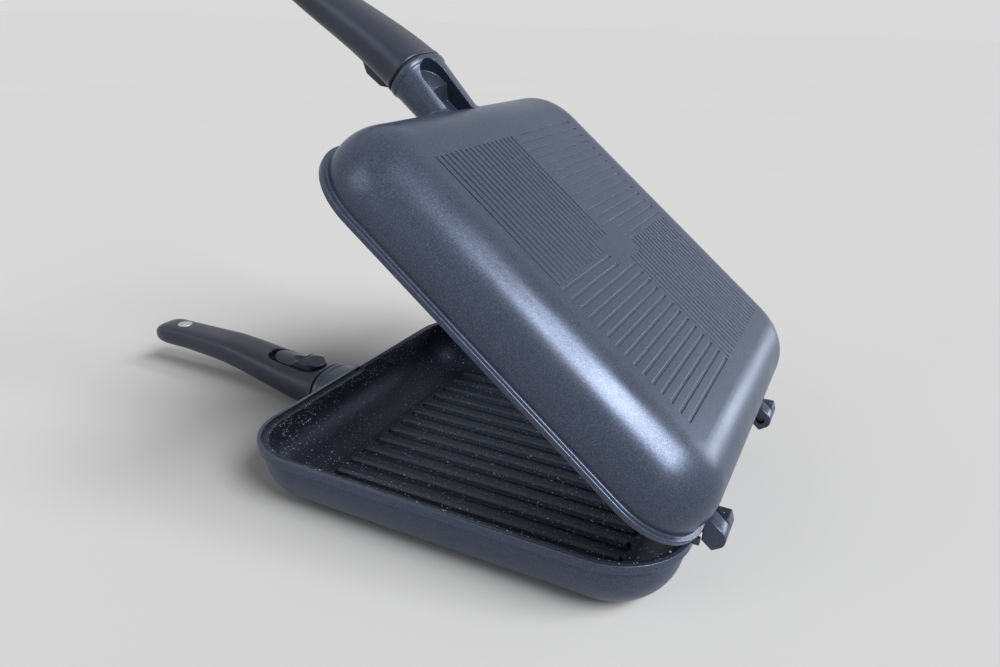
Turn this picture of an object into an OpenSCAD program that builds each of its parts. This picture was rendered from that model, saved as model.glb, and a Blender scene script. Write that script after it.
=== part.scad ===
// Double sided flip pan: two identical cast pans, hinged on one short side,
// each with a moulded handle on the other. The model stands open.
//
// Frame: millimetres, +Z up. The origin is the centre of the lower pan's base.
// The hinge is at +X with its axis along Y, and the handles point to -X.
// Everything is drawn for the lower pan. The upper one is the same set of
// pieces, turned over about the X axis in the parting plane and then opened.

/* [Rim and bowl] */
// Length of the rim, handle side to hinge side
rim_l = 280; // [250:1:330]
// Width of the rim
rim_w = 272; // [240:1:320]
// Corner radius of the rim
rim_r = 44; // [38:1:56]
// Height from the base to the plane where the two pans part
parting_h = 41; // [36:1:60]
// Thickness of the walls and of the floor
wall = 3.8; // [3:0.1:5]
// Radius between the outside of the wall and the base
base_round = 32; // [24:1:32]
// How far the flange stands out from the wall
flange_out = 3.4; // [2:0.2:6]
// Thickness of the flange
flange_t = 4.6; // [3:0.2:7]
// How far the interlocking lips stand over and under the parting plane
lip_h = 1; // [0.6:0.1:2]
// Width of the raised outer lip
lip_w = 2.6; // [1.5:0.1:3.5]
// Gap between the two rims when the pan is closed
rim_gap = 0.3; // [0.2:0.05:0.6]

/* [Cooking ribs] */
// Number of ribs on the floor of each pan
rib_count = 13; // [5:2:15]
// Distance from rib to rib
rib_pitch = 16; // [10:0.5:17]
// Width of a rib's top
rib_top = 4; // [2:0.2:6]
// Width of a rib's foot
rib_foot = 6.4; // [4.2:0.2:9]
// Height of a rib
rib_h = 2.2; // [1:0.2:4]
// Length of a rib
rib_l = 202; // [120:1:210]

/* [Pattern on the base] */
// Length of the grooved field
field_l = 187; // [120:1:190]
// Width of the grooved field
field_w = 186; // [120:1:186]
// Gap between the four quarters of the field
field_gap = 2.8; // [2:0.2:8]
// Number of fine grooves in a quarter
fine_count = 18; // [6:1:22]
// Width of a fine groove
fine_w = 1.8; // [0.8:0.1:2.2]
// Number of coarse grooves in a quarter
coarse_count = 15; // [5:1:18]
// Width of a coarse groove
coarse_w = 1.7; // [1:0.1:3]
// Depth of the grooves
groove_d = 0.8; // [0.4:0.1:1.2]
// Length of the bare plate in the middle
plate_l = 14; // [8:1:30]
// Width of the bare plate in the middle
plate_w = 34; // [16:1:50]

/* [Hinge] */
// Distance from the rim to the hinge axis
hinge_out = 9; // [8.6:0.2:12]
// Distance from the middle of the pan to the gap between the lugs
hinge_y = 74.6; // [50:0.2:84]
// Width of one lug
lug_w = 11.7; // [8:0.1:15]
// Gap between the two lugs of a hinge
lug_gap = 0.4; // [0.3:0.1:1]
// Radius of a lug about the pin, on its underside
lug_r = 6.8; // [6:0.1:7.2]
// Height of a lug's flat top over the pin's axis
lug_top = 5.9; // [4.6:0.1:6.2]
// Diameter of the hinge pins
pin_d = 6; // [4:0.1:7]
// Length of the hinge pins
pin_l = 17; // [14:0.5:19]
// How far the pin's head end lies inside the inner lug
pin_recess = 3; // [1:0.5:5]
// Radial clearance of the pins in their bores
pin_clear = 0.05; // [0.02:0.01:0.1]
// How far the upper pan is open
open_angle = 38.5; // [0:0.5:100]

/* [Collar] */
// Distance from the rim to the handle's end of the collar
collar_l = 26.8; // [22:0.2:34]
// Half the width of the collar and of the grip where they meet
joint_hw = 23.2; // [21:0.1:26]
// Half the height of the collar and of the grip where they meet
joint_hh = 16.2; // [15:0.1:18]
// Depth of the collar's centre under the parting plane, at the grip
joint_depth = 24; // [22:0.1:25]
// Half the width of the collar at the pan
root_hw = 22.4; // [20:0.1:25]
// Depth of the collar's centre under the parting plane, at the pan
root_depth = 20.2; // [19:0.1:22]
// Half the height of the collar at the pan
root_hh = 12.4; // [11:0.1:13.5]
// Length of the bead at the collar's end
bead_l = 4.4; // [3:0.1:6]
// How far the bead stands out from the collar
bead_out = 0.8; // [0.4:0.1:1.5]
// Length of the slot under the collar
slot_l = 40; // [24:1:41]
// Width of the slot
slot_w = 21.6; // [12:0.2:23]
// How far the slot lies to one side of the collar's middle
slot_shift = 4.7; // [0:0.1:5]
// How far the slot is turned round the collar from straight down
slot_turn = 13; // [0:1:16]
// Metal left between the slot and the socket for the latch
slot_web = 0.8; // [0.6:0.1:1.6]
// How much deeper the slot is past the socket
slot_step = 8; // [0:0.5:9]

/* [Grip] */
// Length of the grip
grip_l = 182; // [150:1:220]
// Half the width of the grip near its end
end_hw = 13.4; // [11:0.1:18]
// Half the height of the grip near its end
end_hh = 9.8; // [8:0.1:13]
// Least gap between each grip's inner face and the parting plane
face_gap = 0.5; // [0.3:0.1:1]
// Depth of the grip's centre under the parting plane near its end
end_depth = 10.4; // [8.6:0.1:16]
// Length of the rounded end
end_round = 20; // [10:1:24]
// How far the rounded end drops away from the inner face
end_drop = 5; // [0:0.5:7]
// Thickness of the ring between the collar and the grip
ring_t = 1.2; // [0.8:0.1:2.5]
// How far the ring lies inside the outline of the collar
ring_inset = 0.7; // [0.3:0.1:1.5]

/* [Thumb button] */
// Distance from the ring to the middle of the recess
recess_at = 30.5; // [30:0.5:34]
// Length of the recess
recess_l = 52; // [50:1:56]
// Width of the recess
recess_w = 21; // [17:0.5:22]
// Length of the button
button_l = 45; // [42:0.5:47]
// Clearance round the button
button_clear = 0.5; // [0.3:0.1:1]
// Travel of the button
button_travel = 5; // [3:0.5:6]
// How far the button's top stands over the grip's inner face
button_rise = 1.4; // [0:0.1:1.6]
// Height of the thumb rest over the button's top
thumb_h = 4.2; // [2:0.2:4.6]
// Depth of the hollow for the thumb under the button's top
hollow_depth = 2.4; // [0.5:0.1:3]

/* [Latch] */
// Width of the steel frame in the grip
frame_w = 28; // [24:0.5:30]
// Width of the frame's tongue in the collar
tongue_w = 15; // [13:0.5:15]
// Height of the steel frame
frame_h = 13; // [12:0.5:14]
// Wall thickness of the steel frame
frame_wall = 1.8; // [1.2:0.1:2.5]
// How far the frame reaches into the collar
frame_in = 16; // [14:1:16]
// How far the frame reaches into the grip
frame_back = 46; // [44:1:56]
// Clearance round the frame in the collar and in the grip
frame_clear = 0.2; // [0.1:0.05:0.5]
// Width of the catch
catch_w = 10; // [8:0.5:11]
// Thickness of the catch
catch_t = 3; // [2:0.2:4]
// Diameter of the catch's pivot pin
catch_pin_d = 3; // [2:0.1:4]
// Radial clearance of the catch on its pin
catch_clear = 0.05; // [0.02:0.01:0.1]

/* [Springs, screw and magnet] */
// Wire of the springs
wire_d = 0.7; // [0.4:0.1:1]
// Diameter of the screw in the frame
screw_d = 4; // [3:0.5:5]
// Length of the screw's shank
screw_l = 16; // [10:1:24]
// Diameter of the magnet
magnet_d = 12; // [8:0.5:15]
// Thickness of the magnet
magnet_t = 5; // [3:0.5:7]
// Distance from the grip's end to the magnet
magnet_at = 31; // [25:1:60]

/* [Hidden] */

// Facets that stand for a true circle
round_fn = 96;
// Points round the lofted collar and grip, and sections along the grip
loft_sides = 32;
grip_steps = 14;
end_steps = 5;
// Amount by which a cut runs past the face it opens
past = 1;

// Centres of the rim's corner arcs
corner_x = rim_l / 2 - rim_r;
corner_y = rim_w / 2 - rim_r;
// Outside and inside of the wall, measured from those centres
wall_r = rim_r - flange_out;
bowl_r = wall_r - wall;
// Heights of the raised lip and of the ledge beside it
lip_z = parting_h + lip_h - rim_gap / 2;
ledge_z = parting_h - lip_h - rim_gap / 2;

// Hinge axis and the bores on it
axis_x = rim_l / 2 + hinge_out;
bore_r = pin_d / 2 + pin_clear;
inner_lug_y = hinge_y - lug_gap / 2 - lug_w;
outer_lug_y = hinge_y + lug_gap / 2;
pin_end_gap = 0.6;
pin_y = inner_lug_y + pin_recess;
pin_chamfer = 0.6;

// Small locating nub on the rim beside the inner lug
nub_l = 3.2;
nub_w = 3.4;
nub_gap = 1.7;

// Planes along the handle, as distances from the middle of the pan
root_x = corner_x + bowl_r - wall_r / 3;
joint_x = rim_l / 2 + collar_l;
grip_x = joint_x + ring_t;
// Height of the collar's and the grip's centre where they meet
joint_z = parting_h - joint_depth;
// Roundness of the sections: 2 is an ellipse and more is squarer
joint_square = 2.4;
face_square = 3.4;
back_square = 2.2;
// Lengths over which the grip bends and thins
bend_l = 122;
thin_l = 150;
thin_power = 1.4;

// Slot under the collar: its round end
slot_end_x = joint_x - 2.6;

// Latch frame
frame_z = joint_z + 2.7;
frame_low = frame_z - frame_h / 2;
frame_top = frame_z + frame_h / 2;
frame_floor = frame_low + frame_wall;
frame_front_x = joint_x - frame_in;
frame_end_x = grip_x + frame_back;
// Distance of the slot's floor from the collar's centre, and where it steps down
slot_floor =
    (tongue_w / 2 + frame_clear) * sin(slot_turn)
    + (joint_z - frame_low + frame_clear) * cos(slot_turn) + slot_web;
slot_step_x = frame_front_x - frame_clear - 2 * slot_web;
frame_wide_x = grip_x + 5;
// Floor of the button's recess
recess_z = frame_top + frame_clear + 3;
// Catch: its pivot, its bar and its nose
eye_r = catch_pin_d / 2 + 1.5;
pivot_x = frame_end_x - frame_wall - 3 - eye_r;
pivot_z = frame_floor + eye_r + 0.4;
catch_drop = 4.2;
nose_l = 4.5;
nose_x = frame_front_x + 7;
nose_top = frame_top + frame_clear + 2.4;
bar_low = frame_floor + (pivot_x - nose_x) * tan(catch_drop) + 0.4;
rest_z = pivot_z + eye_r;
// Slider: its plate lies over the catch and under the recess
slider_gap = 0.3;
slider_t = 2.2;
slider_w = catch_w;
slider_front = 13;
slider_top = frame_top + frame_clear - slider_gap;
slider_low = slider_top - slider_t;
slider_x = grip_x + recess_at - 3;
slider_back = frame_end_x - frame_wall - slider_gap - button_travel - slider_x;
stem_l = 12;
stem_w = 6;
stem_in = 1.2;
ear_t = 1.5;
// Foot of the slider and the ramp on the catch that it rides up
foot_r = 1.2;
foot_x = slider_x - slider_front + foot_r + 0.6;
foot_low = rest_z + 0.3;
ramp_h = (pivot_x - foot_x - button_travel) * tan(catch_drop);
// Button spring beside the catch
spring_d = 4.4;
spring_y = catch_w / 2 + 3.4;
spring_z = frame_top - spring_d / 2 - 0.3;
spring_turns = 8;
spring_front_x = slider_x + 1;
spring_back_x = frame_end_x - frame_wall;
// Catch spring round the pivot pin
coil_r = catch_pin_d / 2 + 1.1;
coil_turns = 3;
coil_y = catch_w / 2 + 0.8;
leg_l = 12;
// Rings and sides of the spring wire
turn_rings = 8;
wire_sides = 6;

// Head of the frame's screw
head_r = screw_d * 0.85;
head_t = 2;
screw_z = frame_floor + head_r + 0.2;

// Magnet's place on the grip, and the height of its face
magnet_x = grip_x + grip_l - magnet_at;
magnet_top = parting_h - rim_gap;
magnet_clear = 0.1;
// Button: radius of its crown, the thumb rest's length and peak, and the hollow
crown_r = 20;
rest_l = 25;
rest_peak = 13;
rest_flat = 1.5;
hollow_r = 9;
hollow_at = 21;
recess_near = recess_at - recess_l / 2;
recess_depth = joint_z + joint_hh - recess_z;
pocket_clear = 0.1;

pan_colour = [0.36, 0.40, 0.47];
grip_colour = [0.13, 0.13, 0.14];
steel_colour = [0.72, 0.73, 0.75];

// ---------------------------------------------------------------- helpers

// Power that keeps the sign of its base
function signed_pow(v, p) = sign(v) * pow(abs(v), p);

// One section across the handle: a rounded outline in the plane at -x
function section(x, z, hw, hh, up, down) = [
    for (i = [0 : loft_sides - 1])
        let (
            a = 360 * i / loft_sides,
            n = sin(a) > 0 ? up : down
        )
        [-x, hw * signed_pow(cos(a), 2 / n), z + hh * signed_pow(sin(a), 2 / n)]
];

// Solid through a list of sections that all have the same number of points
module loft(rings) {
    n = len(rings[0]);
    last = len(rings) - 1;
    points = [for (ring = rings) each ring];
    sides = [
        for (j = [0 : last - 1])
            for (i = [0 : n - 1])
                let (k = (i + 1) % n, a = j * n, b = a + n)
                each [[a + i, b + k, b + i], [a + i, a + k, b + k]]
    ];
    front = [for (i = [n - 1 : -1 : 0]) i];
    back = [for (i = [0 : n - 1]) last * n + i];
    polyhedron(points, concat([front], sides, [back]));
}

// Unbroken round wire along a list of points, given a sideways vector for each
module wire(path, side) {
    n = len(path);
    rings = [
        for (j = [0 : n - 1])
            let (
                along = path[min(j + 1, n - 1)] - path[max(j - 1, 0)],
                t = along / norm(along),
                s = side[j] - t * (side[j] * t),
                u = s / norm(s),
                w = cross(t, u)
            )
            [
                for (i = [0 : wire_sides - 1])
                    let (a = 360 * i / wire_sides)
                    path[j] + wire_d / 2 * (u * cos(a) + w * sin(a))
            ]
    ];
    loft(rings);
}

// Strip with two round ends, along X
module stadium(l, w) {
    square([l - w, w], center = true);
    for (turn = [0, 180])
        rotate(turn)
            translate([(l - w) / 2, 0])
                intersection() {
                    circle(d = w, $fn = round_fn);
                    translate([0, -w])
                        square([w, 2 * w]);
                }
}

// Turned over for the upper half, and opened about the hinge
module upper_half() {
    translate([axis_x, 0, parting_h])
        rotate([0, open_angle, 0])
            translate([-axis_x, 0, parting_h])
                rotate([180, 0, 0])
                    children();
}

// ---------------------------------------------------------------- pan casting

// Quarter of a ring in the side view, from straight down to straight out
module quarter_ring(x, z, outer, inner) {
    intersection() {
        difference() {
            translate([x, z])
                circle(r = outer, $fn = 2 * round_fn);
            translate([x, z])
                circle(r = inner, $fn = 2 * round_fn);
        }
        translate([x, z - outer])
            square(outer);
    }
}

// Side view of the floor, wall and flange: outward is +X, up is +Y
module shell_profile() {
    square([wall_r - base_round, wall]);
    quarter_ring(wall_r - base_round, base_round, base_round, base_round - wall);
    translate([bowl_r, base_round])
        square([wall, ledge_z - base_round]);
    translate([wall_r, parting_h - flange_t])
        square([flange_out, ledge_z - parting_h + flange_t]);
}

// Side view of the raised lip: the outer one on the near half of the rim,
// the inner one on the far half
module lip_profile(near) {
    translate([near ? rim_r - lip_w : bowl_r, ledge_z])
        square([near ? lip_w : rim_r - lip_w - rim_gap - bowl_r, lip_z - ledge_z]);
}

// One corner of the rim, turned out of the 2D children
module corner(sx, sy) {
    turn = sx > 0 ? (sy > 0 ? 0 : 270) : (sy > 0 ? 90 : 180);
    translate([sx * corner_x, sy * corner_y, 0])
        rotate([0, 0, turn])
            rotate_extrude(angle = 90, $fn = round_fn)
                children();
}

// Straight run of the 2D children at distance d from the middle: it faces +X
// and lies from y = low to y = high before it is turned about the middle
module run(turn, d, low, high) {
    rotate([0, 0, turn])
        translate([d, high, 0])
            rotate([90, 0, 0])
                linear_extrude(high - low)
                    children();
}

module shell() {
    for (sy = [-1, 1]) {
        for (sx = [-1, 1])
            corner(sx, sy) {
                shell_profile();
                lip_profile(sy < 0);
            }
        run(90 * sy, corner_y, -corner_x, corner_x) {
            shell_profile();
            lip_profile(sy < 0);
        }
    }
    for (turn = [0, 180]) {
        run(turn, corner_x, -corner_y, corner_y)
            shell_profile();
        run(turn, corner_x, rim_gap / 2, corner_y)
            lip_profile(turn == 180);
        run(turn, corner_x, -corner_y, -rim_gap / 2)
            lip_profile(turn == 0);
    }
    translate([-corner_x, -corner_y, 0])
        cube([2 * corner_x, 2 * corner_y, wall]);
}

// Inside of the bowl at the handle, as a cutter for the collar's root
module bowl_cutter() {
    run(180, corner_x, -joint_hw - past, joint_hw + past) {
        quarter_ring(wall_r - base_round, base_round, base_round - wall, 0.01);
        translate([-past, wall])
            square([wall_r - base_round + past, parting_h]);
        translate([wall_r - base_round, base_round])
            square([base_round - wall, parting_h]);
    }
}

// Section of the collar at x, standing out from its plain shape by more
function collar_section(x, more) =
    let (t = (joint_x - x) / (joint_x - root_x))
    section(
        x,
        joint_z + (parting_h - root_depth - joint_z) * t,
        joint_hw + (root_hw - joint_hw) * t + more,
        joint_hh + (root_hh - joint_hh) * t + more,
        joint_square, joint_square
    );

// Outside of the collar that the handle is fixed to, with the bead at its end
module collar_shape() {
    loft([
        collar_section(root_x, 0),
        collar_section(joint_x - bead_l, 0),
        collar_section(joint_x - bead_l * 0.75, bead_out),
        collar_section(joint_x - bead_l * 0.2, bead_out),
        collar_section(joint_x, bead_out / 3)
    ]);
}

module collar() {
    difference() {
        collar_shape();
        bowl_cutter();
        collar_slot();
        collar_socket();
    }
}

// Cut from the collar's underside down to a floor, from x to the pan
module slot_cut(x, floor) {
    translate([-x, -slot_w / 2, -floor - 2 * joint_hh])
        cube([x - slot_end_x + slot_l, slot_w, 2 * joint_hh]);
}

// Slot under the collar: turned and shifted to one side, round at the grip's
// end and deeper past the socket
module collar_slot() {
    translate([0, 0, joint_z])
        rotate([slot_turn, 0, 0])
            translate([0, slot_shift, 0]) {
                slot_cut(slot_end_x - slot_w / 2, slot_floor);
                slot_cut(slot_step_x, slot_floor - slot_step);
                translate([-slot_end_x + slot_w / 2, 0, -slot_floor - 2 * joint_hh])
                    linear_extrude(2 * joint_hh)
                        intersection() {
                            circle(d = slot_w, $fn = round_fn);
                            translate([-slot_w, -slot_w])
                                square([slot_w, 2 * slot_w]);
                        }
            }
}

// Space for the frame's tongue from x = low to x = high, with its clearance
module tongue_space(low, high) {
    translate([low, -tongue_w / 2 - frame_clear, frame_low - frame_clear])
        cube([high - low, tongue_w + 2 * frame_clear, frame_h + 2 * frame_clear]);
}

// Socket for the tongue, with a notch above it for the catch's nose
module collar_socket() {
    tongue_space(-joint_x - past, -frame_front_x + frame_clear);
    translate([
        -nose_x - nose_l - frame_clear,
        -catch_w / 2 - frame_clear,
        frame_top
    ])
        cube([
            nose_l + 2 * frame_clear,
            catch_w + 2 * frame_clear,
            nose_top + slider_gap - frame_top
        ]);
}

// Side view of a lug: the hinge axis is the origin, +Y is up
module lug_profile() {
    reach = hinge_out + flange_out + wall / 2;
    intersection() {
        circle(r = lug_r, $fn = round_fn);
        translate([0, -lug_r])
            square(lug_r);
    }
    polygon([
        [-reach, -lug_r],
        [0, -lug_r],
        [0, 0],
        [lug_r, 0],
        [lug_r * 0.74, lug_top],
        [-lug_r * 0.4, lug_top],
        [-lug_r * 0.74, lug_top * 0.44],
        [-hinge_out + rim_gap, ledge_z - parting_h],
        [-reach, ledge_z - parting_h]
    ]);
}

// Lug with its near face at y
module lug(y) {
    translate([axis_x, y + lug_w, parting_h])
        rotate([90, 0, 0])
            linear_extrude(lug_w)
                lug_profile();
}

// Bore along the hinge axis from y, going towards +Y
module hinge_bore(y, l) {
    translate([axis_x, y, parting_h])
        rotate([-90, 0, 0])
            cylinder(r = bore_r, h = l, $fn = round_fn);
}

// Ribs on the floor
module ribs() {
    for (i = [0 : rib_count - 1])
        translate([-rib_l / 2, (i - (rib_count - 1) / 2) * rib_pitch, wall])
            rotate([90, 0, 90])
                linear_extrude(rib_l)
                    polygon([
                        [-rib_foot / 2, -wall / 2],
                        [rib_foot / 2, -wall / 2],
                        [rib_foot / 2, 0],
                        [rib_top / 2, rib_h],
                        [-rib_top / 2, rib_h],
                        [-rib_foot / 2, 0]
                    ]);
}

// Fine grooves along X in the quarter at +X, -Y
module fine_grooves() {
    quarter = (field_w - field_gap) / 2;
    pitch = (quarter - fine_w) / (fine_count - 1);
    for (i = [0 : fine_count - 1]) {
        y = field_gap / 2 + fine_w / 2 + i * pitch;
        start = y < plate_w / 2 + field_gap ? plate_l / 2 + field_gap : field_gap / 2;
        translate([start, -y - fine_w / 2, -past])
            cube([field_l / 2 - start, fine_w, groove_d + past]);
    }
}

// Coarse grooves along Y in the quarter at +X, +Y
module coarse_grooves() {
    quarter = (field_l - field_gap) / 2;
    pitch = (quarter - coarse_w) / (coarse_count - 1);
    for (i = [0 : coarse_count - 1]) {
        x = field_gap / 2 + coarse_w / 2 + i * pitch;
        start = x < plate_l / 2 + field_gap ? plate_w / 2 + field_gap : field_gap / 2;
        l = field_w / 2 - start;
        translate([x, start + l / 2, -past])
            linear_extrude(groove_d + past)
                rotate(90)
                    stadium(l, coarse_w);
    }
}

module base_pattern() {
    for (turn = [0, 180])
        rotate([0, 0, turn]) {
            fine_grooves();
            coarse_grooves();
        }
}

// Small nub on the rim beside the inner lug
module nub() {
    translate([
        rim_l / 2 - flange_out / 2,
        -outer_lug_y - lug_w - nub_gap - nub_l,
        parting_h - flange_t + 1
    ])
        cube([flange_out / 2 + nub_w, nub_l, flange_t - 1 + lip_z - parting_h]);
}

// The whole casting
module pan() {
    difference() {
        union() {
            difference() {
                shell();
                base_pattern();
            }
            collar();
            ribs();
            lug(-inner_lug_y - lug_w);
            lug(outer_lug_y);
            nub();
        }
        hinge_bore(-inner_lug_y - lug_w - past, lug_w + 2 * past);
        hinge_bore(outer_lug_y - past, past + pin_y + pin_l + pin_end_gap - outer_lug_y);
    }
}

// Hinge pin at the near hinge, with both ends chamfered
module hinge_pin() {
    translate([axis_x, -pin_y, parting_h])
        rotate([90, 0, 0])
            rotate_extrude($fn = round_fn)
                polygon([
                    [0, 0],
                    [pin_d / 2 - pin_chamfer, 0],
                    [pin_d / 2, pin_chamfer],
                    [pin_d / 2, pin_l - pin_chamfer],
                    [pin_d / 2 - pin_chamfer, pin_l],
                    [0, pin_l]
                ]);
}

// ---------------------------------------------------------------- handle

// How much of the bend and of the joint's thickness is left at s along the grip
function bend_left(s) =
    let (t = min(1, s / bend_l)) (1 - t) * (1 - t) * (1 + 2 * t);
function thick_left(s) = pow(1 - min(1, s / thin_l), thin_power);

// Grip's centre height, half height and half width at s along it
function grip_hh(s) = end_hh + (joint_hh - end_hh) * thick_left(s);
function grip_z(s) = min(
    parting_h - end_depth - (joint_depth - end_depth) * bend_left(s),
    parting_h - face_gap - grip_hh(s)
);
function grip_hw(s) = end_hw + (joint_hw - end_hw) * thick_left(s);

// Section of the grip at s, shrunk by k at the rounded end
function grip_section(s, k) =
    let (left = thick_left(s))
    section(
        grip_x + s,
        grip_z(s) - end_drop * (1 - k),
        grip_hw(s) * k,
        grip_hh(s) * k,
        face_square + (joint_square - face_square) * left,
        back_square + (joint_square - back_square) * left
    );

// Outside of the grip
module grip_shape() {
    straight = grip_l - end_round;
    loft(concat(
        [for (i = [0 : grip_steps]) grip_section(straight * i / grip_steps, 1)],
        [
            for (i = [1 : end_steps])
                let (a = 84 * i / end_steps)
                grip_section(straight + end_round * sin(a), cos(a))
        ]
    ));
}

module grip() {
    difference() {
        grip_shape();
        // Room for the latch frame
        tongue_space(-frame_wide_x - past, -grip_x + past);
        translate([
            -frame_end_x - frame_clear,
            -frame_w / 2 - frame_clear,
            frame_low - frame_clear
        ])
            cube([
                frame_end_x - frame_wide_x + 2 * frame_clear,
                frame_w + 2 * frame_clear,
                frame_h + 2 * frame_clear
            ]);
        // Recess for the button, and the slot in its floor for the stem
        translate([-grip_x - recess_at, 0, recess_z])
            linear_extrude(joint_hh)
                stadium(recess_l, recess_w);
        translate([
            -slider_x - stem_l / 2 - button_travel - button_clear,
            -stem_w / 2 - button_clear,
            frame_top
        ])
            cube([
                stem_l + button_travel + 2 * button_clear,
                stem_w + 2 * button_clear,
                recess_z + past - frame_top
            ]);
        // Bore for the frame's screw
        translate([-frame_end_x, 0, screw_z])
            rotate([0, -90, 0])
                cylinder(d = screw_d + 2 * frame_clear, h = screw_l, $fn = round_fn);
        // Pocket for the magnet
        translate([-magnet_x, 0, magnet_top - magnet_t])
            cylinder(d = magnet_d + 2 * magnet_clear, h = magnet_t + past + end_hh, $fn = round_fn);
    }
}

module ring() {
    difference() {
        loft([
            for (x = [joint_x, grip_x])
                section(
                    x, joint_z, joint_hw - ring_inset, joint_hh - ring_inset,
                    joint_square, joint_square
                )
        ]);
        tongue_space(-grip_x - past, -joint_x + past);
    }
}

// Channel open towards the inner face: a narrow tongue in the collar and a wide
// part with an end wall in the grip
module frame() {
    difference() {
        union() {
            translate([-frame_wide_x - past, -tongue_w / 2, frame_low])
                cube([frame_wide_x + past - frame_front_x, tongue_w, frame_h]);
            translate([-frame_end_x, -frame_w / 2, frame_low])
                cube([frame_end_x - frame_wide_x, frame_w, frame_h]);
        }
        translate([-frame_wide_x - frame_wall - past, frame_wall - tongue_w / 2, frame_floor])
            cube([
                frame_wide_x + past - frame_front_x,
                tongue_w - 2 * frame_wall,
                frame_h
            ]);
        translate([-frame_end_x + frame_wall, -frame_w / 2 + frame_wall, frame_floor])
            cube([
                frame_end_x - frame_wide_x - 2 * frame_wall,
                frame_w - 2 * frame_wall,
                frame_h
            ]);
        translate([-pivot_x, 0, pivot_z])
            rotate([90, 0, 0])
                cylinder(d = catch_pin_d, h = frame_w + 2 * past, center = true, $fn = round_fn);
        translate([-frame_end_x - past, 0, screw_z])
            rotate([0, 90, 0])
                cylinder(d = screw_d + frame_clear, h = frame_wall + 2 * past, $fn = round_fn);
    }
}

module frame_screw() {
    translate([-frame_end_x + frame_wall, 0, screw_z])
        rotate([0, -90, 0]) {
            cylinder(d = screw_d, h = screw_l, $fn = round_fn);
            translate([0, 0, -head_t])
                difference() {
                    cylinder(r = head_r, h = head_t, $fn = round_fn);
                    for (turn = [0, 90])
                        rotate([0, 0, turn])
                            translate([-head_r * 0.6, -0.4, -past])
                                cube([head_r * 1.2, 0.8, past + head_t * 0.6]);
                }
        }
}

module catch_pin() {
    translate([-pivot_x, 0, pivot_z])
        rotate([90, 0, 0])
            cylinder(d = catch_pin_d, h = frame_w, center = true, $fn = round_fn);
}

// Lever with an eye at the grip's end and a nose that stands in the collar's notch
module catch() {
    difference() {
        translate([0, catch_w / 2, 0])
            rotate([90, 0, 0])
                linear_extrude(catch_w) {
                    translate([-pivot_x, pivot_z])
                        circle(r = eye_r, $fn = round_fn);
                    polygon([
                        [-pivot_x, pivot_z - eye_r],
                        [-nose_x, bar_low],
                        [-nose_x, nose_top - nose_l / 2],
                        [-nose_x - nose_l / 2, nose_top],
                        [-nose_x - nose_l, nose_top],
                        [-nose_x - nose_l, bar_low + catch_t],
                        [-foot_x - foot_r, rest_z],
                        [-foot_x - foot_r - button_travel, rest_z + ramp_h],
                        [-pivot_x, rest_z]
                    ]);
                }
        translate([-pivot_x, 0, pivot_z])
            rotate([90, 0, 0])
                cylinder(
                    d = catch_pin_d + 2 * catch_clear, h = catch_w + 2 * past,
                    center = true, $fn = round_fn
                );
    }
}

// Torsion spring round the pivot pin: the far leg lies on the frame, and the
// near one hooks under the catch
module catch_spring() {
    turns = turn_rings * coil_turns;
    pitch = wire_d * 1.3;
    low = pivot_z - coil_r;
    far = -coil_y - pitch * coil_turns;
    coil = [
        for (i = [0 : turns])
            let (a = 360 * i / turn_rings)
            [-pivot_x - coil_r * sin(a), far + pitch * i / turn_rings, pivot_z - coil_r * cos(a)]
    ];
    outward = [
        for (i = [0 : turns])
            let (a = 360 * i / turn_rings) [-sin(a), 0, -cos(a)]
    ];
    wire(
        concat(
            [[-pivot_x + leg_l, far, low]],
            coil,
            [[-pivot_x + leg_l - 1, -coil_y, low], [-pivot_x + leg_l, -coil_y + 1, low]],
            [[-pivot_x + leg_l, -coil_y + 4, low]]
        ),
        concat([[0, 0, -1]], outward, [[0, 0, -1], [0, 0, -1], [0, 0, -1]])
    );
}

// Slide under the recess: plate, stem to the button, foot on the catch's ramp
// and an ear beside the catch that the button spring pushes
module slider() {
    ear_y = slider_w / 2 + slider_gap;
    translate([-slider_x - slider_back, -slider_w / 2, slider_low])
        cube([slider_front + slider_back, slider_w, slider_t]);
    translate([-slider_x - stem_l / 2, -stem_w / 2, slider_top - slider_t / 2])
        cube([stem_l, stem_w, recess_z + slider_gap + stem_in - slider_top + slider_t / 2]);
    translate([-foot_x, slider_w / 2, foot_low + foot_r])
        rotate([90, 0, 0])
            cylinder(r = foot_r, h = slider_w, $fn = round_fn);
    translate([-foot_x - foot_r, -slider_w / 2, foot_low + foot_r])
        cube([2 * foot_r, slider_w, slider_low + slider_t / 2 - foot_low - foot_r]);
    translate([-spring_front_x, slider_w / 2 - past, slider_low])
        cube([ear_t, past + slider_gap + ear_t, slider_t]);
    translate([-spring_front_x, ear_y, spring_z - spring_d / 2])
        cube([ear_t, spring_y + spring_d / 2 - ear_y, slider_top - spring_z + spring_d / 2]);
}

// Height of the grip's inner face along its middle
function face_z(s) = grip_z(s) + grip_hh(s);

// Height at s of the straight line along the grip's inner face past the recess
function chord_z(s) =
    face_z(recess_near)
    + (face_z(recess_near + recess_l) - face_z(recess_near)) * (s - recess_near) / recess_l;

// Rod as long as the recess, along the grip's inner face and h over it
module crown(h) {
    slope = atan(chord_z(1) - chord_z(0));
    translate([-grip_x - recess_near, 0, face_z(recess_near) + h])
        rotate([0, slope, 0])
            translate([past, 0, -crown_r])
                rotate([0, -90, 0])
                    cylinder(r = crown_r, h = recess_l + 2 * past, $fn = 2 * round_fn);
}

// Side view of the thumb rest: X runs along the grip from the button's pan end
module thumb_profile() {
    top = recess_depth + button_rise + thumb_h + past;
    polygon([
        [0, 0],
        [rest_l, 0],
        [rest_l, recess_depth],
        [rest_peak + rest_flat / 2, top],
        [rest_peak - rest_flat / 2, top],
        [0, recess_depth + button_rise / 2]
    ]);
}

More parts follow.
